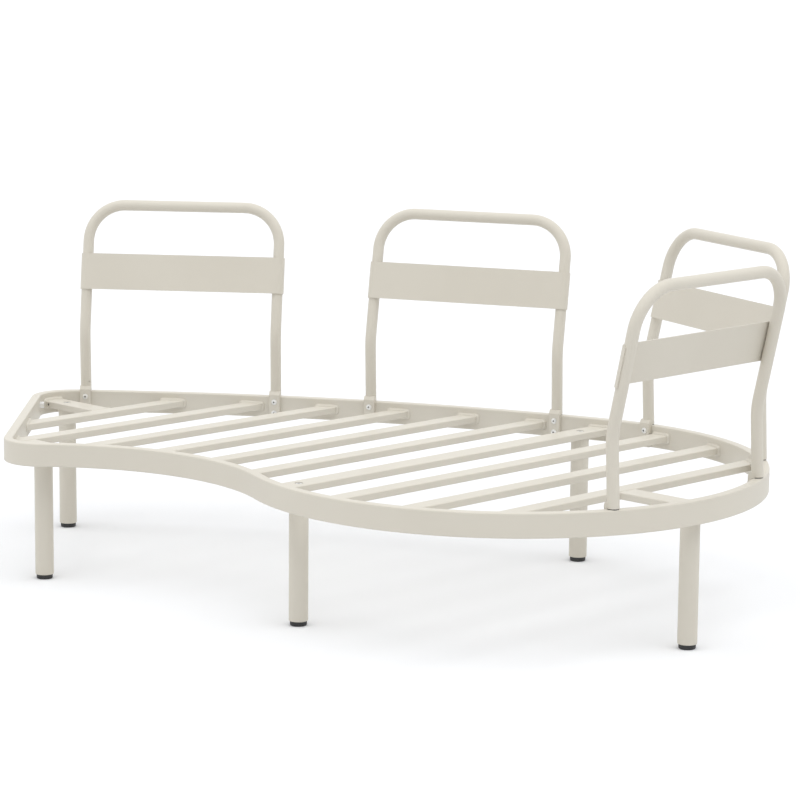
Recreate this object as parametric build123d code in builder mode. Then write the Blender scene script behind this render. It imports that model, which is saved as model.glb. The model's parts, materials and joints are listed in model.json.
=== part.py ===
from build123d import *
import math
import os

# A garden lounge bench without its cushions: a curved seat frame of flat tube filled with
# diagonal slats, five round legs and four bolted backrests.
# Millimetres, +Z up, +X from the straight end towards the round end, +Y towards the back.
# The origin is on the floor, under the middle of the whole bench.

# ---- plan of the seat frame, outer faces
frame_length = 1620.0
end_width = 700.0
round_radius = 550.0
cove_radius = 500.0
back_radius = 2850.0
corner_radius = 90.0
straight_end_x = -829.9
round_centre_y = -161.3

# ---- rim tube
rim_height = 50.0
rim_thickness = 20.0
rim_wall = 2.0
rim_edge_radius = 3.0
rim_top = 313.0

# ---- slats and braces
slat_width = 40.0
wide_slat_width = 50.0
slat_thickness = 15.0
slat_wall = 1.5
slat_edge_radius = 2.5
slat_angle = 45.0
slat_pitch = 152.0
front_slat_pitch = 165.0
wide_slat_offset = -167.0
slats_behind_wide = 6
slats_before_wide = 3
brace_vent_radius = 3.0
brace_vent_inset = 38.0

# ---- legs and their adjustable feet
leg_radius = 20.0
leg_wall = 2.0
leg_edge_radius = 1.5
foot_radius = 17.5
foot_height = 10.0
foot_edge_radius = 3.0
plug_height = 12.0
stud_length = 26.0
stud_seat = 4.0

# ---- leg bolts, M8 with low heads
m8_radius = 3.95
m8_thread_radius = 4.0
m8_clearance_radius = 4.3
socket_share = 0.65
leg_bolt_length = 25.0
low_head_radius = 7.0
low_head_height = 4.6
low_head_socket = 5.0
low_head_edge = 0.8
sleeve_radius = 8.0
sleeve_height = 8.3
access_hole_radius = 8.25

# ---- backrests
tube_radius = 12.5
tube_wall = 2.0
foot_spacing = 452.0
overall_height = 758.0
bend_height = 143.0
lower_lean = -2.6
upper_lean = 12.8
bend_radius = 150.0
top_corner_radius = 85.0
plate_height = 84.0
plate_thickness = 2.5
plate_start = 97.0
plate_gap = 0.1
plate_corner = 3.0
cap_radius = 11.5
cap_thickness = 1.8
cap_stem_length = 15.0
cap_fit = 1.0
tube_vent_radius = 1.5
tube_vent_height = 23.0
vented_backrest = "left"

# ---- brackets that hold the backrests to the rim
bracket_width = 25.0
bracket_thickness = 10.0
bracket_depth = 49.0
bracket_edge_radius = 1.5
ramp_foot = 4.5
ramp_height = 12.5
ramp_reach = 3.0
screw_depths = (12.0, 38.0)

# ---- bracket screws, M6 button heads on a flange, and their rivet nuts
m6_radius = 2.95
m6_thread_radius = 3.0
m6_clearance_radius = 3.3
bracket_screw_length = 20.0
button_radius = 5.25
button_height = 3.3
button_socket = 4.0
button_edge = 1.8
flange_radius = 6.5
flange_height = 0.9
rivet_nut_radius = 4.45
rivet_hole_radius = 4.5
rivet_nut_length = 13.0

# ---- joining bolt of the straight end, M8 with a hexagon head
joint_inset = 8.0
joint_drop = 21.0
joint_vent_drop = 17.0
joint_vent_radius = 1.5
insert_radius = 5.45
insert_hole_radius = 5.5
insert_length = 12.0
washer_radius = 8.0
washer_thickness = 1.6
spring_washer_radius = 7.2
spring_washer_thickness = 2.1
hex_width = 13.0
hex_height = 5.3
joint_bolt_length = 20.0
clearance = 0.05

os.makedirs("parts", exist_ok=True)

up = Vector(0, 0, 1)
rim_bottom = rim_top - rim_height
slat_middle = rim_top - rim_height / 2
slat_bottom = slat_middle - slat_thickness / 2


def save(name, part):
    part.label = name
    export_step(part, f"parts/{name}.step")


def polar(angle):
    return Vector(math.cos(math.radians(angle)), math.sin(math.radians(angle)), 0)


# ---- centres of the plan's arcs, worked out from their tangency
round_centre = Vector(straight_end_x + frame_length - round_radius, round_centre_y)
corner_x = straight_end_x + corner_radius
cove_drop = math.sqrt((round_radius + cove_radius) ** 2 - (round_centre.X - corner_x) ** 2)
cove_centre = Vector(corner_x, round_centre.Y - cove_drop)
front_corner = Vector(corner_x, cove_centre.Y + cove_radius + corner_radius)
back_corner = Vector(corner_x, front_corner.Y + end_width - 2 * corner_radius)


def circles_meet(first, first_radius, second, second_radius):
    # the meeting point to the right of the way from first to second
    apart = (second - first).length
    along = (first_radius**2 - second_radius**2 + apart**2) / (2 * apart)
    aside = math.sqrt(first_radius**2 - along**2)
    way = (second - first).normalized()
    return first + way * along + Vector(way.Y, -way.X) * aside


back_centre = circles_meet(
    back_corner, back_radius - corner_radius, round_centre, back_radius - round_radius
)


def on_circle(centre, radius, towards):
    return centre + (towards - centre).normalized() * radius


def plan_curves(inset, height):
    # the frame's plan, drawn this far inside the outer face
    lift = up * height
    end_x = straight_end_x + inset
    with BuildLine():
        end = Line(Vector(end_x, back_corner.Y) + lift, Vector(end_x, front_corner.Y) + lift)
        front_end = on_circle(front_corner, corner_radius - inset, cove_centre) + lift
        front_arc = TangentArc(end @ 1, front_end, tangent=end % 1)
        cove_end = on_circle(round_centre, round_radius - inset, cove_centre) + lift
        cove = TangentArc(front_arc @ 1, cove_end, tangent=front_arc % 1)
        round_finish = on_circle(back_centre, back_radius - inset, round_centre) + lift
        round_end = TangentArc(cove @ 1, round_finish, tangent=cove % 1)
        back_end = on_circle(back_centre, back_radius - inset, back_corner) + lift
        back = TangentArc(round_end @ 1, back_end, tangent=round_end % 1)
        back_arc = TangentArc(back @ 1, end @ 0, tangent=back % 1)
    return {
        "straight_end": [back_arc, end, front_arc],
        "cove": [cove],
        "round_end": [round_end],
        "back": [back],
    }


def plan_prism(inset):
    with BuildPart() as prism:
        with BuildSketch(Plane.XY.offset(rim_bottom)):
            with BuildLine():
                for curves in plan_curves(inset, 0).values():
                    add(curves)
            make_face()
        extrude(amount=rim_height)
    return prism.part


inside = plan_prism(rim_thickness)
rim_block = plan_prism(0) - inside

# ---- where each backrest stands: its rim tube, the centre and radius of that tube's arc,
# and the angle at which the middle of the backrest looks out from the centre
backrest_places = {
    "left": ("back", back_centre, back_radius, 82.6),
    "middle": ("back", back_centre, back_radius, 68.83),
    "right": ("round_end", round_centre, round_radius, 26.05),
    "front": ("round_end", round_centre, round_radius, -44.6),
}


def half_angle(radius):
    return math.degrees(math.asin(foot_spacing / 2 / (radius - tube_radius)))


def backrest_plane(name):
    rim_name, centre, radius, angle = backrest_places[name]
    reach = (radius - tube_radius) * math.cos(math.radians(half_angle(radius)))
    out = polar(angle)
    return Plane(centre + out * reach + up * rim_top, x_dir=out.cross(up), z_dir=up)


def foot_frames(name):
    # per foot, the tube's axis at the top of the rim and the rim's outward direction there
    rim_name, centre, radius, angle = backrest_places[name]
    frames = {}
    for side, turn in (("left", 1), ("right", -1)):
        out = polar(angle + turn * half_angle(radius))
        frames[side] = (centre + out * (radius - tube_radius) + up * rim_top, out)
    return frames


wall_reach = rim_thickness - tube_radius
bracket_reach = wall_reach + bracket_thickness


def screw_planes(name, reach):
    # this far in front of the tube's axis, looking towards the seat
    planes = []
    for point, out in foot_frames(name).values():
        for depth in screw_depths:
            planes.append(Plane(point - out * reach - up * depth, z_dir=-out))
    return planes


# ---- rim: four lengths of flat tube, welded end to end where their curves meet
joint = Vector(straight_end_x, back_corner.Y - joint_inset, rim_top - joint_drop)
joint_outer = Plane(joint, z_dir=(1, 0, 0))
joint_inner = joint_outer.offset(rim_thickness)

for rim_name, curves in plan_curves(rim_thickness / 2, rim_bottom + rim_height / 2).items():
    path = Wire(curves)
    with BuildPart() as rim:
        with BuildSketch(Plane(path @ 0, x_dir=up, z_dir=path % 0)):
            RectangleRounded(rim_height, rim_thickness, rim_edge_radius)
            RectangleRounded(
                rim_height - 2 * rim_wall,
                rim_thickness - 2 * rim_wall,
                rim_edge_radius - rim_wall,
                mode=Mode.SUBTRACT,
            )
        sweep(path=path)
        for name, place in backrest_places.items():
            if place[0] == rim_name:
                with Locations(*screw_planes(name, wall_reach)):
                    Cylinder(rivet_hole_radius, 3 * rim_wall, mode=Mode.SUBTRACT)
        if rim_name == "straight_end":
            with Locations(joint_outer):
                Cylinder(insert_hole_radius, 3 * rim_wall, mode=Mode.SUBTRACT)
            with Locations(joint_inner):
                Cylinder(m8_clearance_radius, 3 * rim_wall, mode=Mode.SUBTRACT)
            with Locations(Plane(joint_inner.origin - up * joint_vent_drop, z_dir=(1, 0, 0))):
                Cylinder(joint_vent_radius, 3 * rim_wall, mode=Mode.SUBTRACT)
    save(f"rim_{rim_name}", rim.part)

# ---- slats and braces, placed by their distance along and across the slats' direction
# from the centre of the round end
slat_way = polar(slat_angle)
front_way = slat_way.cross(up)


def deck_point(along, across, height):
    return round_centre + slat_way * along + front_way * across + up * height


def flat_tube(start, way, width, length=2 * frame_length):
    # runs level from its start; the rim's inner face cuts off whatever would pass it
    with BuildPart() as tube:
        with BuildSketch(Plane(start, x_dir=way.cross(up), z_dir=way)):
            RectangleRounded(width, slat_thickness, slat_edge_radius)
            RectangleRounded(
                width - 2 * slat_wall,
                slat_thickness - 2 * slat_wall,
                slat_edge_radius - slat_wall,
                mode=Mode.SUBTRACT,
            )
        extrude(amount=length)
        add(inside, mode=Mode.INTERSECT)
    return tube.part


leg_places = {
    "back_left": (-175.0, -1224.0),
    "front_left": (-546.0, -848.0),
    "front_middle": (-432.0, wide_slat_offset),
    "back_right": (431.0, wide_slat_offset),
    "front_right": (0.0, 500.0),
}


def drill_for_leg(leg_name):
    # a wide hole in the top wall takes the bolt's head, a narrow one below takes its shank
    point = deck_point(*leg_places[leg_name], slat_bottom)
    with Locations(point + up * slat_thickness):
        Cylinder(access_hole_radius, 2 * slat_wall + 1, mode=Mode.SUBTRACT)
    with Locations(point):
        Cylinder(m8_clearance_radius, 2 * slat_wall + 1, mode=Mode.SUBTRACT)


first_offset = wide_slat_offset - slats_behind_wide * slat_pitch
slat_offsets = [first_offset + step * slat_pitch for step in range(slats_behind_wide + 2)]
for step in range(1, slats_before_wide):
    slat_offsets.append(wide_slat_offset + slat_pitch + step * front_slat_pitch)

for number, offset in enumerate(slat_offsets, start=1):
    wide = offset == wide_slat_offset
    width = wide_slat_width if wide else slat_width
    with BuildPart() as slat:
        add(flat_tube(deck_point(-frame_length, offset, slat_middle), slat_way, width))
        if wide:
            drill_for_leg("front_middle")
            drill_for_leg("back_right")
    save(f"slat_{number:02d}", slat.part)

# each brace leaves the side of a slat and passes over a leg, to the next slat or the rim
brace_runs = {
    "back_left": (slat_offsets[0], -1, 2 * end_width),
    "front_left": (slat_offsets[1], 1, slat_pitch - slat_width),
    "front_right": (slat_offsets[-1], 1, 2 * round_radius),
}
for name, (offset, turn, length) in brace_runs.items():
    leg_along, leg_across = leg_places[name]
    start = deck_point(leg_along, offset + turn * slat_width / 2, slat_middle)
    with BuildPart() as brace:
        add(flat_tube(start, front_way * turn, wide_slat_width, length))
        drill_for_leg(name)
        if name == "back_left":
            near_side = leg_along - wide_slat_width / 2
            vent = deck_point(near_side, leg_across - brace_vent_inset, slat_middle)
            with Locations(Plane(vent, z_dir=slat_way)):
                Cylinder(brace_vent_radius, 3 * slat_wall, mode=Mode.SUBTRACT)
    save(f"{name}_brace", brace.part)


def ring(outer, inner, bottom, top):
    with BuildPart() as piece:
        with BuildSketch(Plane.XY.offset(bottom)):
            Circle(outer)
            Circle(inner, mode=Mode.SUBTRACT)
        extrude(amount=top - bottom)
    return piece.part


def bolt(head, head_height, edge, socket, shank_radius, length, flange=None):
    # drawn with its seat at the origin, head up and shank down
    with BuildPart() as piece:
        with BuildSketch():
            if head == "hex":
                RegularPolygon(hex_width / 2, 6, major_radius=False)
            else:
                Circle(head)
        extrude(amount=head_height)
        if edge:
            fillet(piece.edges().group_by(Axis.Z)[-1], edge)
        if socket:
            with BuildSketch(Plane.XY.offset(head_height)):
                RegularPolygon(socket / 2, 6, major_radius=False)
            extrude(amount=-head_height * socket_share, mode=Mode.SUBTRACT)
        if flange:
            with BuildSketch():
                Circle(flange)
            extrude(amount=flange_height)
        with BuildSketch():
            Circle(shank_radius)
        extrude(amount=-length)
        chamfer(piece.edges().group_by(Axis.Z)[0], shank_radius / 6)
    return piece.part


def group(name, piece, places):
    # equal pieces in one node, each its own solid
    with BuildPart() as pieces:
        with Locations(*places):
            add(piece)
    save(name, pieces.part)


# ---- legs: round tube with a threaded plug in each end, and a foot on a stud
with BuildPart() as leg_tube:
    add(ring(leg_radius, leg_radius - leg_wall, foot_height, slat_bottom))
    bottom_edges = leg_tube.edges().group_by(Axis.Z)[0]
    fillet(bottom_edges.sort_by(SortBy.RADIUS)[-1], leg_edge_radius)

with BuildPart() as foot_pad:
    Cylinder(foot_radius, foot_height, align=(Align.CENTER, Align.CENTER, Align.MIN))
    fillet(foot_pad.edges().group_by(Axis.Z)[0], foot_edge_radius)
    with Locations((0, 0, foot_height)):
        Hole(m8_thread_radius, depth=foot_height - stud_seat)

with BuildPart() as foot_stud:
    with Locations((0, 0, stud_seat)):
        Cylinder(m8_radius, stud_length, align=(Align.CENTER, Align.CENTER, Align.MIN))
    chamfer(foot_stud.edges().group_by(Axis.Z)[-1], 1.0)

plug_radius = leg_radius - leg_wall - clearance
head_seat = slat_bottom + slat_wall + sleeve_height
leg_axes = {}
for name, place in leg_places.items():
    point = deck_point(*place, 0)
    leg_axes[name] = Location(point)
    save(f"leg_{name}", leg_tube.part.moved(leg_axes[name]))
    save(f"foot_{name}", foot_pad.part.moved(leg_axes[name]))

axes = leg_axes.values()
group("foot_studs", foot_stud.part, axes)
group(
    "leg_bottom_plugs",
    ring(plug_radius, m8_thread_radius, foot_height, foot_height + plug_height),
    axes,
)
group(
    "leg_top_plugs",
    ring(plug_radius, m8_thread_radius, slat_bottom - plug_height, slat_bottom),
    axes,
)
group(
    "leg_bolt_sleeves",
    ring(sleeve_radius, m8_clearance_radius, slat_bottom + slat_wall, head_seat),
    axes,
)
leg_bolt = bolt(
    low_head_radius, low_head_height, low_head_edge, low_head_socket, m8_radius, leg_bolt_length
)
group("leg_bolts", leg_bolt, [axis * Location((0, 0, head_seat)) for axis in axes])

# ---- backrest: one bent tube and one plate, drawn on their own feet and placed four times
half_spacing = foot_spacing / 2
lower_slope = math.tan(math.radians(lower_lean))
bend_y = bend_height * lower_slope
top_height = overall_height - rim_top - tube_radius
top_y = bend_y + (top_height - bend_height) * math.tan(math.radians(upper_lean))


def bent_tube(radius, bottom):
    left_side = [
        (-half_spacing, -tube_radius * lower_slope, -tube_radius),
        (-half_spacing, bend_y, bend_height),
        (-half_spacing, top_y, top_height),
    ]
    right_side = [(-x, y, z) for x, y, z in reversed(left_side)]
    radii = [bend_radius, top_corner_radius, top_corner_radius, bend_radius]
    with BuildPart() as tube:
        with BuildLine() as path:
            FilletPolyline(*left_side, *right_side, radius=radii)
        with BuildSketch(Plane(path.wire() @ 0, z_dir=path.wire() % 0)):
            Circle(radius)
        sweep(path=path.wire())
        split(bisect_by=Plane.XY.offset(bottom), keep=Keep.TOP)
    return tube.part


with BuildPart() as back_tube:
    add(bent_tube(tube_radius, cap_thickness))
    add(bent_tube(tube_radius - tube_wall, cap_thickness), mode=Mode.SUBTRACT)

with BuildPart() as vented_tube:
    add(back_tube.part)
    with Locations(Plane((-half_spacing, 0, tube_vent_height), z_dir=(1, -1, 0))):
        with Locations((0, 0, tube_radius - tube_wall)):
            Cylinder(tube_vent_radius, 3 * tube_wall, mode=Mode.SUBTRACT)

plate_inner = tube_radius + plate_gap
plate_outer = plate_inner + plate_thickness
lean = math.radians(upper_lean)
leaning = Plane((0, bend_y, bend_height), x_dir=(1, 0, 0), z_dir=(0, math.sin(lean), math.cos(lean)))
with BuildPart() as plate:
    with BuildSketch(leaning.offset(plate_start)):
        with BuildLine():
            Line((-half_spacing, -plate_outer), (half_spacing, -plate_outer))
            CenterArc((half_spacing, 0), plate_outer, -90, 90)
            Line((half_spacing + plate_outer, 0), (half_spacing + plate_inner, 0))
            CenterArc((half_spacing, 0), plate_inner, -90, 90)
            Line((half_spacing, -plate_inner), (-half_spacing, -plate_inner))
            CenterArc((-half_spacing, 0), plate_inner, 180, 90)
            Line((-half_spacing - plate_inner, 0), (-half_spacing - plate_outer, 0))
            CenterArc((-half_spacing, 0), plate_outer, 180, 90)
        make_face()
    extrude(amount=plate_height)
    corners = plate.edges().filter_by(Axis.X).filter_by(lambda edge: edge.length < 5)
    fillet(corners, plate_corner)

for name in backrest_places:
    place = backrest_plane(name).location
    tube = vented_tube if name == vented_backrest else back_tube
    save(f"backrest_tube_{name}", tube.part.moved(place))
    save(f"backrest_plate_{name}", plate.part.moved(place))

# ---- end caps of the backrest tubes, resting on the rim
with BuildPart() as cap:
    with BuildSketch():
        Circle(cap_radius)
    extrude(amount=cap_thickness - clearance)
    with BuildSketch(Plane.XY.offset(cap_thickness - clearance)):
        Circle(tube_radius - tube_wall - cap_fit)
    extrude(amount=cap_stem_length)

feet = [frame for name in backrest_places for frame in foot_frames(name).values()]
group("backrest_tube_caps", cap.part, [Location(point) for point, out in feet])

# ---- brackets: a flat bar down the rim's inner face, ramped at the top, welded to the tube
for name in backrest_places:
    welded_tube = bent_tube(tube_radius, 0).moved(backrest_plane(name).location)
    for side, (point, out) in foot_frames(name).items():
        with BuildPart() as bracket:
            with BuildSketch(Plane(point, x_dir=-out, z_dir=up.cross(out))):
                with BuildLine():
                    Polyline(
                        (wall_reach - 1, -bracket_depth),
                        (bracket_reach, -bracket_depth),
                        (bracket_reach, ramp_foot),
                        (tube_radius, ramp_height),
                        (ramp_reach, ramp_height),
                        (ramp_reach, 0),
                        close=True,
                    )
                make_face()
            extrude(amount=bracket_width / 2, both=True)
            front = bracket.faces().sort_by(lambda face: (face.center() - point).dot(out))[0]
            fillet(front.edges().filter_by(Axis.Z), bracket_edge_radius)
            add(rim_block, mode=Mode.SUBTRACT)
            add(welded_tube, mode=Mode.SUBTRACT)
            with Locations(*screw_planes(name, bracket_reach)):
                Cylinder(m6_clearance_radius, 4 * bracket_thickness, mode=Mode.SUBTRACT)
        save(f"bracket_{name}_{side}", bracket.part)

screw = bolt(
    button_radius,
    button_height,
    button_edge,
    button_socket,
    m6_radius,
    bracket_screw_length,
    flange=flange_radius,
)
rivet_nut = ring(rivet_nut_radius, m6_thread_radius, -rivet_nut_length, 0)
heads = []
nuts = []
for name in backrest_places:
    heads.extend(screw_planes(name, bracket_reach))
    nuts.extend(screw_planes(name, wall_reach))
group("bracket_screws", screw, heads)
group("rivet_nuts", rivet_nut, nuts)

# ---- joining bolt: from inside the seat through the rim into a threaded insert
washer = ring(washer_radius, m8_clearance_radius, 0, washer_thickness)
spring_washer = ring(spring_washer_radius, m8_clearance_radius, 0, spring_washer_thickness)
joining_bolt = bolt("hex", hex_height, 0, 0, m8_radius, joint_bolt_length)
insert = ring(insert_radius, m8_thread_radius, 0, insert_length)
washers_thickness = washer_thickness + spring_washer_thickness
save("joining_washer", washer.moved(joint_inner.location))
save("joining_spring_washer", spring_washer.moved(joint_inner.offset(washer_thickness).location))
save("joining_bolt", joining_bolt.moved(joint_inner.offset(washers_thickness).location))
save("joining_insert", insert.moved(joint_outer.location))
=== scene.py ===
import json
import math

import bmesh
import bpy
from mathutils import Matrix, Vector
from mathutils.bvhtree import BVHTree


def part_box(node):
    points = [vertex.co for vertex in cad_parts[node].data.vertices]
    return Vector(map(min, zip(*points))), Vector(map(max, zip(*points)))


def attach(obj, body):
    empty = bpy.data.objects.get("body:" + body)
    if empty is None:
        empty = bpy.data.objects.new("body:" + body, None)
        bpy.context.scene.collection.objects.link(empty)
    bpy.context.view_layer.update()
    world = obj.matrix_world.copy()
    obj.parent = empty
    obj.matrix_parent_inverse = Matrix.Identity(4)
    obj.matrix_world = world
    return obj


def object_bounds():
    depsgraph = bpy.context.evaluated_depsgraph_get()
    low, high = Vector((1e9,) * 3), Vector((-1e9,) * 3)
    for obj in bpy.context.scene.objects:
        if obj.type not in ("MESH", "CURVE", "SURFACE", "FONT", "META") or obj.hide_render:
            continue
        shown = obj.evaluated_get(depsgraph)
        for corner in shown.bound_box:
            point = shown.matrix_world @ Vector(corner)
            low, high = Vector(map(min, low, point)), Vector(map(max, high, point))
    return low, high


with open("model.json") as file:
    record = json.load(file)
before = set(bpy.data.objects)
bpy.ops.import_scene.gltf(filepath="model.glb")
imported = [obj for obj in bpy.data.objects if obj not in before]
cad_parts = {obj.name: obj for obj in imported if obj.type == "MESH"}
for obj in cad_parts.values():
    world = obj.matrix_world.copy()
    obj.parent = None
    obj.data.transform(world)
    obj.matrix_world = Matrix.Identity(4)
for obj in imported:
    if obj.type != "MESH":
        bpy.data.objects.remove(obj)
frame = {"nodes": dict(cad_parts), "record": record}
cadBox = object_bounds()
cadNodes = frame["nodes"]
print("frame loaded:", len(cadNodes), "nodes")


# Small helpers for node trees. A value is another node's socket, which gets linked, a number or a colour.
def feed(tree, socket, value):
    if isinstance(value, bpy.types.NodeSocket):
        tree.links.new(value, socket)
    elif isinstance(value, tuple):
        socket.default_value = (*value, 1.0)
    else:
        socket.default_value = value


def newGroup(name, scales, outputs):
    group = bpy.data.node_groups.new(name, "ShaderNodeTree")
    group.interface.new_socket(name="Vector", in_out="INPUT", socket_type="NodeSocketVector")
    for label in scales:
        group.interface.new_socket(name=label, in_out="INPUT", socket_type="NodeSocketFloat")
    for label in outputs:
        group.interface.new_socket(name=label, in_out="OUTPUT", socket_type="NodeSocketFloat")
    return group, group.nodes.new("NodeGroupInput").outputs, group.nodes.new("NodeGroupOutput").inputs


def noiseNode(tree, vector, scale, detail, roughness):
    node = tree.nodes.new("ShaderNodeTexNoise")
    node.inputs["Detail"].default_value = detail
    node.inputs["Roughness"].default_value = roughness
    feed(tree, node.inputs["Vector"], vector)
    feed(tree, node.inputs["Scale"], scale)
    return node.outputs["Fac"]


def mathNode(tree, operation, first, second=0.0):
    node = tree.nodes.new("ShaderNodeMath")
    node.operation = operation
    feed(tree, node.inputs[0], first)
    feed(tree, node.inputs[1], second)
    return node.outputs[0]


def rangeNode(tree, value, low, high, toLow=0.0, toHigh=1.0):
    node = tree.nodes.new("ShaderNodeMapRange")
    node.interpolation_type = "SMOOTHSTEP"
    feed(tree, node.inputs["Value"], value)
    for label, number in (("From Min", low), ("From Max", high), ("To Min", toLow), ("To Max", toHigh)):
        node.inputs[label].default_value = number
    return node.outputs["Result"]


def mixColours(tree, factor, first, second):
    node = tree.nodes.new("ShaderNodeMix")
    node.data_type = "RGBA"
    firstColour, secondColour = (socket for socket in node.inputs if socket.type == "RGBA")
    feed(tree, node.inputs["Factor"], factor)
    feed(tree, firstColour, first)
    feed(tree, secondColour, second)
    return next(socket for socket in node.outputs if socket.type == "RGBA")


def mixShaders(tree, factor, first, second):
    node = tree.nodes.new("ShaderNodeMixShader")
    for socket, value in zip(node.inputs, (factor, first, second)):
        feed(tree, socket, value)
    return node.outputs[0]


# Shader groups put out values from 0 to 1 only. Cured powder has a fine orange peel, a slow cloudiness, and
# a few tiny specks of dust under the film.
peelShape = {
    "peelDetail": 3.0, "peelRoughness": 0.55, "cloudDetail": 2.0, "cloudRoughness": 0.5,
    "cloudRange": (0.3, 0.7), "speckEdge": (0.015, 0.03), "speckLimit": 0.93,
}


def buildPeelGroup(shape):
    group, given, made = newGroup(
        "powderPeel", ("Peel Scale", "Cloud Scale", "Speck Scale"), ("Peel", "Cloud", "Speck")
    )
    vector = given["Vector"]
    peel = noiseNode(group, vector, given["Peel Scale"], shape["peelDetail"], shape["peelRoughness"])
    cloud = noiseNode(group, vector, given["Cloud Scale"], shape["cloudDetail"], shape["cloudRoughness"])
    cells = group.nodes.new("ShaderNodeTexVoronoi")
    feed(group, cells.inputs["Vector"], vector)
    feed(group, cells.inputs["Scale"], given["Speck Scale"])
    near = rangeNode(group, cells.outputs["Distance"], *shape["speckEdge"], 1.0, 0.0)
    cellColour = group.nodes.new("ShaderNodeSeparateColor")
    feed(group, cellColour.inputs[0], cells.outputs["Color"])
    chosen = mathNode(group, "GREATER_THAN", cellColour.outputs[0], shape["speckLimit"])
    feed(group, made["Peel"], peel)
    feed(group, made["Cloud"], rangeNode(group, cloud, *shape["cloudRange"]))
    feed(group, made["Speck"], mathNode(group, "MULTIPLY", near, chosen))
    return group


# Plated and moulded parts have a grain, and stains that change more slowly.
grainShape = {"grainDetail": 2.0, "stainDetail": 3.0, "roughness": 0.6, "stainRange": (0.35, 0.65)}


def buildGrainGroup(shape):
    group, given, made = newGroup("fineGrain", ("Grain Scale", "Stain Scale"), ("Grain", "Stain"))
    vector = given["Vector"]
    grain = noiseNode(group, vector, given["Grain Scale"], shape["grainDetail"], shape["roughness"])
    stain = noiseNode(group, vector, given["Stain Scale"], shape["stainDetail"], shape["roughness"])
    feed(group, made["Grain"], grain)
    feed(group, made["Stain"], rangeNode(group, stain, *shape["stainRange"]))
    return group


peelGroup = buildPeelGroup(peelShape)
grainGroup = buildGrainGroup(grainShape)


def newMaterial(name, metallic=0.0):
    material = bpy.data.materials.new(name)
    material.use_nodes = True
    tree = material.node_tree
    shader = tree.nodes["Principled BSDF"]
    shader.inputs["Metallic"].default_value = metallic
    place = tree.nodes.new("ShaderNodeTexCoord")
    return material, tree, shader, place.outputs["Object"]


def placeGroup(tree, group, vector, **values):
    node = tree.nodes.new("ShaderNodeGroup")
    node.node_tree = group
    feed(tree, node.inputs["Vector"], vector)
    for label, value in values.items():
        node.inputs[label.replace("_", " ")].default_value = value
    return node


def addBump(tree, shader, height, strength, distance):
    bump = tree.nodes.new("ShaderNodeBump")
    bump.inputs["Strength"].default_value = strength
    bump.inputs["Distance"].default_value = distance
    feed(tree, bump.inputs["Height"], height)
    feed(tree, shader.inputs["Normal"], bump.outputs["Normal"])


coatLook = {
    "colour": (0.655, 0.618, 0.540), "cloudColour": (0.640, 0.602, 0.524),
    "speckColour": (0.52, 0.48, 0.41), "roughness": (0.37, 0.43), "roughRange": (0.3, 0.7),
    "peelScale": 900.0, "peelStrength": 0.35, "peelDepth": 0.00004, "cloudScale": 5.0, "speckScale": 60.0,
}


def powderCoat(name, look):
    material, tree, shader, vector = newMaterial(name)
    peel = placeGroup(
        tree, peelGroup, vector, Peel_Scale=look["peelScale"], Cloud_Scale=look["cloudScale"],
        Speck_Scale=look["speckScale"],
    )
    clouded = mixColours(tree, peel.outputs["Cloud"], look["colour"], look["cloudColour"])
    specked = mixColours(tree, peel.outputs["Speck"], clouded, look["speckColour"])
    rough = rangeNode(tree, peel.outputs["Peel"], *look["roughRange"], *look["roughness"])
    feed(tree, shader.inputs["Base Color"], specked)
    feed(tree, shader.inputs["Roughness"], rough)
    addBump(tree, shader, peel.outputs["Peel"], look["peelStrength"], look["peelDepth"])
    return material


# Painted shade: the sockets of plated screws are told by how little of their surroundings they see, and their
# colour is painted dark there.
zincLook = {
    "colour": (0.93, 0.93, 0.91), "stainColour": (0.78, 0.78, 0.77), "roughness": (0.28, 0.42),
    "paintedShadeColour": (0.03, 0.03, 0.03), "paintedShadeReach": 0.004, "paintedShadeRange": (0.34, 0.60),
    "grainScale": 2600.0, "stainScale": 120.0, "grainStrength": 0.3, "grainDepth": 0.00002,
}


def platedZinc(name, look):
    material, tree, shader, vector = newMaterial(name, metallic=1.0)
    grain = placeGroup(
        tree, grainGroup, vector, Grain_Scale=look["grainScale"], Stain_Scale=look["stainScale"]
    )
    colour = mixColours(tree, grain.outputs["Stain"], look["colour"], look["stainColour"])
    # Painted shade: ambient occlusion within 4 mm darkens the base colour towards near black in the sockets
    # and other recesses.
    shade = tree.nodes.new("ShaderNodeAmbientOcclusion")
    shade.inputs["Distance"].default_value = look["paintedShadeReach"]
    shade.only_local = True
    bare = rangeNode(tree, shade.outputs["AO"], *look["paintedShadeRange"])
    rough = rangeNode(tree, grain.outputs["Stain"], 0.0, 1.0, *look["roughness"])
    feed(tree, shader.inputs["Base Color"], mixColours(tree, bare, look["paintedShadeColour"], colour))
    feed(tree, shader.inputs["Roughness"], rough)
    addBump(tree, shader, grain.outputs["Grain"], look["grainStrength"], look["grainDepth"])
    return material


plasticLook = {
    "colour": (0.020, 0.020, 0.021), "stainColour": (0.034, 0.034, 0.036), "roughness": (0.38, 0.55),
    "roughRange": (0.3, 0.7), "grainScale": 1800.0, "stainScale": 120.0, "grainStrength": 0.5,
    "grainDepth": 0.00005,
}


def mouldedPlastic(name, look):
    material, tree, shader, vector = newMaterial(name)
    grain = placeGroup(
        tree, grainGroup, vector, Grain_Scale=look["grainScale"], Stain_Scale=look["stainScale"]
    )
    colour = mixColours(tree, grain.outputs["Stain"], look["colour"], look["stainColour"])
    rough = rangeNode(tree, grain.outputs["Grain"], *look["roughRange"], *look["roughness"])
    feed(tree, shader.inputs["Base Color"], colour)
    feed(tree, shader.inputs["Roughness"], rough)
    addBump(tree, shader, grain.outputs["Grain"], look["grainStrength"], look["grainDepth"])
    return material


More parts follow.
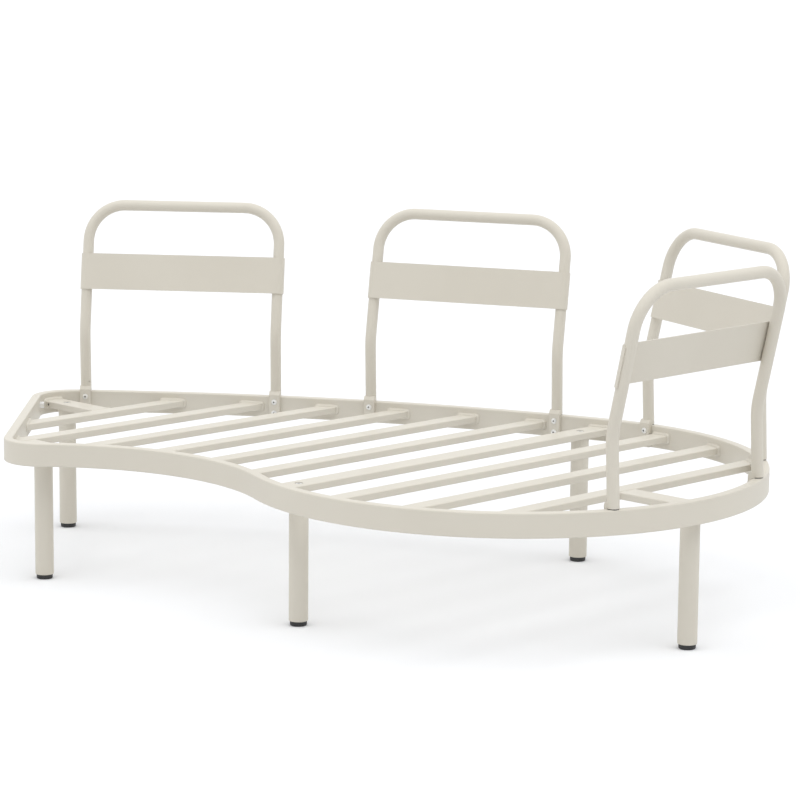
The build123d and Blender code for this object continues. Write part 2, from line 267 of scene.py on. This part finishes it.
finishes = {
    "powder_coat": powderCoat("warmWhiteCoat", coatLook),
    "zinc_steel": platedZinc("brightZinc", zincLook),
    "black_plastic": mouldedPlastic("blackPlastic", plasticLook),
}
slotOf = {part["node"]: part["material_slot"] for part in frame["record"]["subparts"]}
for nodeName, node in cadNodes.items():
    for materialSlot in node.material_slots:
        materialSlot.material = finishes[slotOf[nodeName]]
print("finishes:", len(finishes))


# Which pieces are welded to which.
slats = sorted(name for name in cadNodes if name.startswith("slat_"))
rims = sorted(name for name in cadNodes if name.startswith("rim_"))
braces = {
    "back_left_brace": ["slat_01"],
    "front_left_brace": ["slat_02", "slat_03"],
    "front_right_brace": ["slat_10"],
}

# How seams are read from the pieces. Points closer than "merge" are one point. The inner line of a hollow
# end has its middle within "wall" of the outer line's, and a line that stays within "least" of its middle
# is no welded end. The sharp and the wide corner of a slanting end lie "corner" along the piece from there.
seamLook = {"merge": 0.000001, "wall": 0.003, "least": 0.015, "corner": 0.020}


def surfaceTree(names):
    points, faces = [], []
    for name in names:
        first = len(points)
        points += [vertex.co.copy() for vertex in cadNodes[name].data.vertices]
        faces += [[first + index for index in face.vertices] for face in cadNodes[name].data.polygons]
    return BVHTree.FromPolygons(points, faces)


# The closed lines around the faces by which one piece meets its neighbours. Each point comes with the
# direction in which the piece runs into its neighbour.
def seamLines(name, neighbours, reach, facing):
    wall = surfaceTree(neighbours)
    mesh = bmesh.new()
    mesh.from_mesh(cadNodes[name].data)
    bmesh.ops.remove_doubles(mesh, verts=mesh.verts, dist=seamLook["merge"])
    touching = set()
    for face in mesh.faces:
        spots = [vertex.co for vertex in face.verts] + [face.calc_center_median()]
        hits = [wall.find_nearest(spot, reach) for spot in spots]
        if all(hit[0] is not None for hit in hits) and abs(face.normal.dot(hits[-1][1])) > facing:
            touching.add(face)
    border = [edge for edge in mesh.edges if sum(face in touching for face in edge.link_faces) == 1]
    ways = {vertex: face.normal.copy() for face in touching for vertex in face.verts}
    lines = []
    while border:
        edge = border.pop()
        points = [edge.verts[0], edge.verts[1]]
        while points[-1] is not points[0]:
            following = [edge for edge in border if points[-1] in edge.verts]
            if not following:
                break
            border.remove(following[0])
            points.append(following[0].other_vert(points[-1]))
        lines.append([(vertex.co.copy(), ways[vertex]) for vertex in points])
    mesh.free()
    return lines


# The outer line of each welded end, with its middle and the direction from there along the piece.
def outerLines(name, neighbours, size):
    kept = []
    for line in seamLines(name, neighbours, size["reach"], size["facing"]):
        middle = sum((point for point, way in line), Vector()) / len(line)
        extent = max((point - middle).length for point, way in line)
        rival = next((other for other in kept if (other[0] - middle).length < seamLook["wall"]), None)
        if rival is None:
            kept.append((middle, extent, line))
        elif extent > rival[1]:
            kept[kept.index(rival)] = (middle, extent, line)
    low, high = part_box(name)
    centre = (low + high) / 2.0
    welded = [(middle, line) for middle, extent, line in kept if extent > seamLook["least"]]
    return [(middle, (centre - middle).normalized(), line) for middle, line in welded]


# Beads are laid by Geometry Nodes along those lines. The section is a blunt lozenge, whose faces lie across
# the corner that they fill; ripples run across it and slow lumps along it, and both fade out at its edges.
# The keys are the names of the tree's inputs.
beadLook = {
    "Step": 0.0006, "Sides": 16, "Bluntness": 1.25, "Ripple": 0.0003, "Pitch": 0.0030, "Lean": 0.35,
    "Lumps": 0.0010, "Lump Scale": 140.0, "Seed": 3.0,
}


def buildBeadTree():
    tree = bpy.data.node_groups.new("weldBead", "GeometryNodeTree")
    tree.interface.new_socket(name="Geometry", in_out="INPUT", socket_type="NodeSocketGeometry")
    for label in ("Radius", *beadLook):
        kind = "NodeSocketInt" if label == "Sides" else "NodeSocketFloat"
        tree.interface.new_socket(name=label, in_out="INPUT", socket_type=kind)
    tree.interface.new_socket(name="Material", in_out="INPUT", socket_type="NodeSocketMaterial")
    tree.interface.new_socket(name="Geometry", in_out="OUTPUT", socket_type="NodeSocketGeometry")
    end = tree.nodes.new("NodeGroupOutput")
    given = tree.nodes.new("NodeGroupInput").outputs

    def add(kind, choice=None, **links):
        node = tree.nodes.new(kind)
        if choice:
            setattr(node, *choice)
        for label, value in links.items():
            feed(tree, node.inputs[label.replace("_", " ")], value)
        return node

    def calculate(operation, first, second=0.0):
        return mathNode(tree, operation, first, second)

    def stored(name, kind):
        node = add("GeometryNodeInputNamedAttribute", ("data_type", kind))
        node.inputs["Name"].default_value = name
        return node.outputs[0]

    def captured(geometry, value):
        node = add("GeometryNodeCaptureAttribute", Geometry=geometry)
        node.capture_items.new("FLOAT", "Value")
        feed(tree, node.inputs["Value"], value)
        return node.outputs["Geometry"], node.outputs["Value"]

    def scaled(vector, factor):
        return add("ShaderNodeVectorMath", ("operation", "SCALE"), Vector=vector, Scale=factor).outputs[0]

    # The line, in even steps, turned so that one corner of the section points into the neighbour.
    bare = add("GeometryNodeMeshToCurve", Mesh=given["Geometry"]).outputs[0]
    even = add("GeometryNodeResampleCurve", ("mode", "LENGTH"), Curve=bare, Length=given["Step"]).outputs[0]
    way = stored("way", "FLOAT_VECTOR")
    turned = add("GeometryNodeSetCurveNormal", ("mode", "FREE"), Curve=even, Normal=way).outputs[0]
    line, distance = captured(turned, add("GeometryNodeSplineParameter").outputs["Length"])

    # The section: a circle whose points are drawn in by the power that "Bluntness" gives.
    circle = add("GeometryNodeCurvePrimitiveCircle", Resolution=given["Sides"], Radius=given["Radius"])
    share = add("GeometryNodeSplineParameter").outputs["Factor"]
    angle = calculate("MULTIPLY", share, math.tau)
    across, upward = (calculate("ABSOLUTE", calculate(part, angle)) for part in ("COSINE", "SINE"))
    powers = [calculate("POWER", side, given["Bluntness"]) for side in (across, upward)]
    inverse = calculate("DIVIDE", -1.0, given["Bluntness"])
    shrink = calculate("POWER", calculate("ADD", *powers), inverse)
    drawnIn = scaled(add("GeometryNodeInputPosition").outputs[0], shrink)
    lozenge = add("GeometryNodeSetPosition", Geometry=circle.outputs[0], Position=drawnIn).outputs[0]
    section, around = captured(lozenge, share)
    fill = stored("fill", "FLOAT")
    bead = add("GeometryNodeCurveToMesh", Curve=line, Profile_Curve=section, Scale=fill).outputs[0]

    # Ripples lean over the middle of each face of the section, where "turn" is 0, and end at its corners.
    turn = calculate("COSINE", calculate("MULTIPLY", around, 2 * math.tau))
    phase = calculate("DIVIDE", distance, given["Pitch"])
    leaning = calculate("ADD", phase, calculate("MULTIPLY", turn, given["Lean"]))
    wave = calculate("ABSOLUTE", calculate("SINE", calculate("MULTIPLY", leaning, math.pi)))
    ripple = calculate("MULTIPLY", wave, given["Ripple"])
    noise = add(
        "ShaderNodeTexNoise", ("noise_dimensions", "4D"), Scale=given["Lump Scale"], W=given["Seed"]
    )
    lumps = calculate("MULTIPLY", calculate("SUBTRACT", noise.outputs[0], 0.5), given["Lumps"])
    fade = calculate("SUBTRACT", 1.0, calculate("MULTIPLY", turn, turn))
    height = calculate("MULTIPLY", calculate("ADD", ripple, lumps), fade)
    push = scaled(add("GeometryNodeInputNormal").outputs[0], height)
    rough = add("GeometryNodeSetPosition", Geometry=bead, Offset=push).outputs[0]
    smooth = add("GeometryNodeSetShadeSmooth", Geometry=rough).outputs[0]
    real = add("GeometryNodeRealizeInstances", Geometry=smooth).outputs[0]
    coated = add("GeometryNodeSetMaterial", Geometry=real, Material=given["Material"]).outputs[0]
    feed(tree, end.inputs[0], coated)
    return tree


# The bare lines of one piece: each point has its way into the neighbour and the bead's fill, or scale, there.
def seamObject(name, points, edges, ways, fills):
    mesh = bpy.data.meshes.new(name)
    mesh.from_pydata(points, edges, [])
    directions = mesh.attributes.new("way", "FLOAT_VECTOR", "POINT")
    directions.data.foreach_set("vector", [part for way in ways for part in way])
    mesh.attributes.new("fill", "FLOAT", "POINT").data.foreach_set("value", fills)
    seams = bpy.data.objects.new(name, mesh)
    bpy.context.scene.collection.objects.link(seams)
    return seams


def growBeads(seams, tree, values):
    modifier = seams.modifiers.new("beads", "NODES")
    modifier.node_group = tree
    for item in tree.interface.items_tree:
        if item.in_out == "INPUT" and item.name in values:
            modifier[item.identifier] = values[item.name]
    seams.update_tag()
    bpy.context.view_layer.update()
    evaluated = seams.evaluated_get(bpy.context.evaluated_depsgraph_get())
    grown = bpy.data.meshes.new_from_object(evaluated)
    seams.modifiers.remove(modifier)
    seams.data = grown


# Per piece: "radius" is half the lozenge, and "share" draws the line in towards its middle height. "reach"
# and "facing" tell which faces meet: the gap that rounded edges leave, and how squarely they face each
# other. On a slanting end, "acute" and "obtuse" are for its sharp and its wide corner: how far the line
# moves outwards there, and how much the bead grows, as shares.
beadSizes = {
    "wallWelds": {
        "radius": 0.0054, "share": 1.0, "reach": 0.0006, "facing": 0.9, "acute": (0.30, 0.6),
        "obtuse": (-0.07, -0.4),
    },
    "flushWelds": {
        "radius": 0.0034, "share": 0.74, "reach": 0.0034, "facing": 0.7, "acute": (0.0, 0.0),
        "obtuse": (0.0, 0.0),
    },
}
beadTree = buildBeadTree()


# One point of a line and its fill, moved out into the sharp corner or in from the wide one. The line comes
# in by as much as the bead grows in height, so that the bead's top stays level.
def filledPoint(point, middle, axis, size):
    aside = Vector((point.x - middle.x, point.y - middle.y, 0.0))
    lean = max(-1.0, min(1.0, aside.dot(axis) / seamLook["corner"]))
    spread, growth = size["acute"] if lean > 0.0 else size["obtuse"]
    height = (point.z - middle.z) * size["share"]
    height -= math.copysign(size["radius"] * growth * lean ** 2, height)
    place = middle + aside * (1.0 + spread * lean ** 2) + Vector((0.0, 0.0, height))
    return place, 1.0 + growth * lean ** 2


def layBeads(name, pairs):
    size = beadSizes[name]
    points, edges, ways, fills = [], [], [], []
    seams = [seam for piece, neighbours in pairs for seam in outerLines(piece, neighbours, size)]
    for middle, axis, line in seams:
        if (line[0][0] - line[-1][0]).length < seamLook["merge"]:
            line.pop()
        first, count = len(points), len(line)
        for point, way in line:
            place, fill = filledPoint(point, middle, axis, size)
            points.append(place)
            ways.append(way)
            fills.append(fill)
        edges += [(first + step, first + (step + 1) % count) for step in range(count)]
    beads = seamObject(name, points, edges, ways, fills)
    growBeads(beads, beadTree, dict(beadLook, Radius=size["radius"], Material=finishes["powder_coat"]))
    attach(beads, "root")
    print(name, len(seams), "seams,", len(beads.data.polygons), "faces")


layBeads("wallWelds", [(name, rims) for name in slats + sorted(braces)])
layBeads("flushWelds", braces.items())


# The floor and the sky light the bench with one colour and show themselves in another.
floorLook = {"litColour": (0.81, 0.81, 0.81), "shownColour": (0.882, 0.887, 0.902), "radius": 60.0}


def diffuseNode(tree, colour):
    node = tree.nodes.new("ShaderNodeBsdfDiffuse")
    feed(tree, node.inputs["Color"], colour)
    return node.outputs[0]


def buildFloor(look):
    size = look["radius"]
    corners = [(-size, -size, 0), (size, -size, 0), (size, size, 0), (-size, size, 0)]
    mesh = bpy.data.meshes.new("floor")
    mesh.from_pydata(corners, [], [(0, 1, 2, 3)])
    floor = bpy.data.objects.new("floor", mesh)
    bpy.context.scene.collection.objects.link(floor)
    floor.location.z = cadBox[0][2]
    material = bpy.data.materials.new("paleFloor")
    material.use_nodes = True
    tree = material.node_tree
    tree.nodes.clear()
    output = tree.nodes.new("ShaderNodeOutputMaterial")
    rays = tree.nodes.new("ShaderNodeLightPath")
    lit, shown = diffuseNode(tree, look["litColour"]), diffuseNode(tree, look["shownColour"])
    feed(tree, output.inputs["Surface"], mixShaders(tree, rays.outputs["Is Camera Ray"], lit, shown))
    mesh.materials.append(material)


# The sky is stronger at the top than at the sides. Sideways it gains with the square of the direction's x,
# by "leftGain" on the left and by "rightGain" on the right, and between them it blends over "blend" of x.
skyLook = {
    "litColour": (0.8, 0.8, 0.8), "shownColour": (1.0, 1.0, 1.0), "top": 0.67, "side": 0.55,
    "leftGain": 0.99, "rightGain": 0.54, "blend": 0.2,
}


def skyNode(tree, colour, strength):
    node = tree.nodes.new("ShaderNodeBackground")
    feed(tree, node.inputs["Color"], colour)
    feed(tree, node.inputs["Strength"], strength)
    return node.outputs[0]


def buildSky(look):
    world = bpy.data.worlds.new("studio")
    bpy.context.scene.world = world
    world.use_nodes = True
    tree = world.node_tree
    tree.nodes.clear()
    output = tree.nodes.new("ShaderNodeOutputWorld")
    place = tree.nodes.new("ShaderNodeTexCoord")
    direction = tree.nodes.new("ShaderNodeSeparateXYZ")
    feed(tree, direction.inputs[0], place.outputs["Generated"])
    sideways, upwards = direction.outputs["X"], direction.outputs["Z"]
    level = rangeNode(tree, upwards, 0.0, 1.0, look["side"], look["top"])
    gain = rangeNode(tree, sideways, -look["blend"], look["blend"], look["leftGain"], look["rightGain"])
    gained = mathNode(tree, "MULTIPLY", mathNode(tree, "MULTIPLY", sideways, sideways), gain)
    lit = skyNode(tree, look["litColour"], mathNode(tree, "ADD", level, gained))
    shown = skyNode(tree, look["shownColour"], 1.0)
    rays = tree.nodes.new("ShaderNodeLightPath")
    seen = rays.outputs["Is Camera Ray"]
    for kind in ("Is Transmission Ray", "Is Glossy Ray"):
        seen = mathNode(tree, "MAXIMUM", seen, rays.outputs[kind])
    feed(tree, output.inputs["Surface"], mixShaders(tree, seen, lit, shown))


# Where the light comes from, and the width of its disc in degrees.
lampLook = {
    "overhead": {"from": (0.12, -0.23, 1.0), "angle": 75.0, "strength": 1.90, "colour": (0.975, 0.99, 1.0)},
}


# The disc is kept out of reflections, which show the sky.
def buildLamps(look):
    for name, values in look.items():
        lamp = bpy.data.lights.new(name, "SUN")
        lamp.angle = math.radians(values["angle"])
        lamp.energy = values["strength"]
        lamp.color = values["colour"]
        holder = bpy.data.objects.new(name, lamp)
        bpy.context.scene.collection.objects.link(holder)
        holder.visible_glossy = False
        holder.rotation_euler = (-Vector(values["from"])).to_track_quat("-Z", "Y").to_euler()


# The turns are in degrees.
cameraLook = {
    "place": (-0.0273, -6.2345, 1.4856), "heading": -0.458, "tilt": -9.811, "roll": 0.525, "lens": 133.37,
}


def buildCamera(look):
    camera = bpy.data.cameras.new("camera")
    camera.lens = look["lens"]
    holder = bpy.data.objects.new("camera", camera)
    bpy.context.scene.collection.objects.link(holder)
    turn = Matrix.Rotation(math.radians(look["heading"]), 4, "Z")
    turn = turn @ Matrix.Rotation(math.radians(90.0 + look["tilt"]), 4, "X")
    turn = turn @ Matrix.Rotation(math.radians(look["roll"]), 4, "Z")
    holder.matrix_world = Matrix.Translation(look["place"]) @ turn
    bpy.context.scene.camera = holder


buildFloor(floorLook)
buildSky(skyLook)
buildLamps(lampLook)
buildCamera(cameraLook)
bpy.context.scene.view_settings.view_transform = "Standard"
print("stage, lamps and camera set")
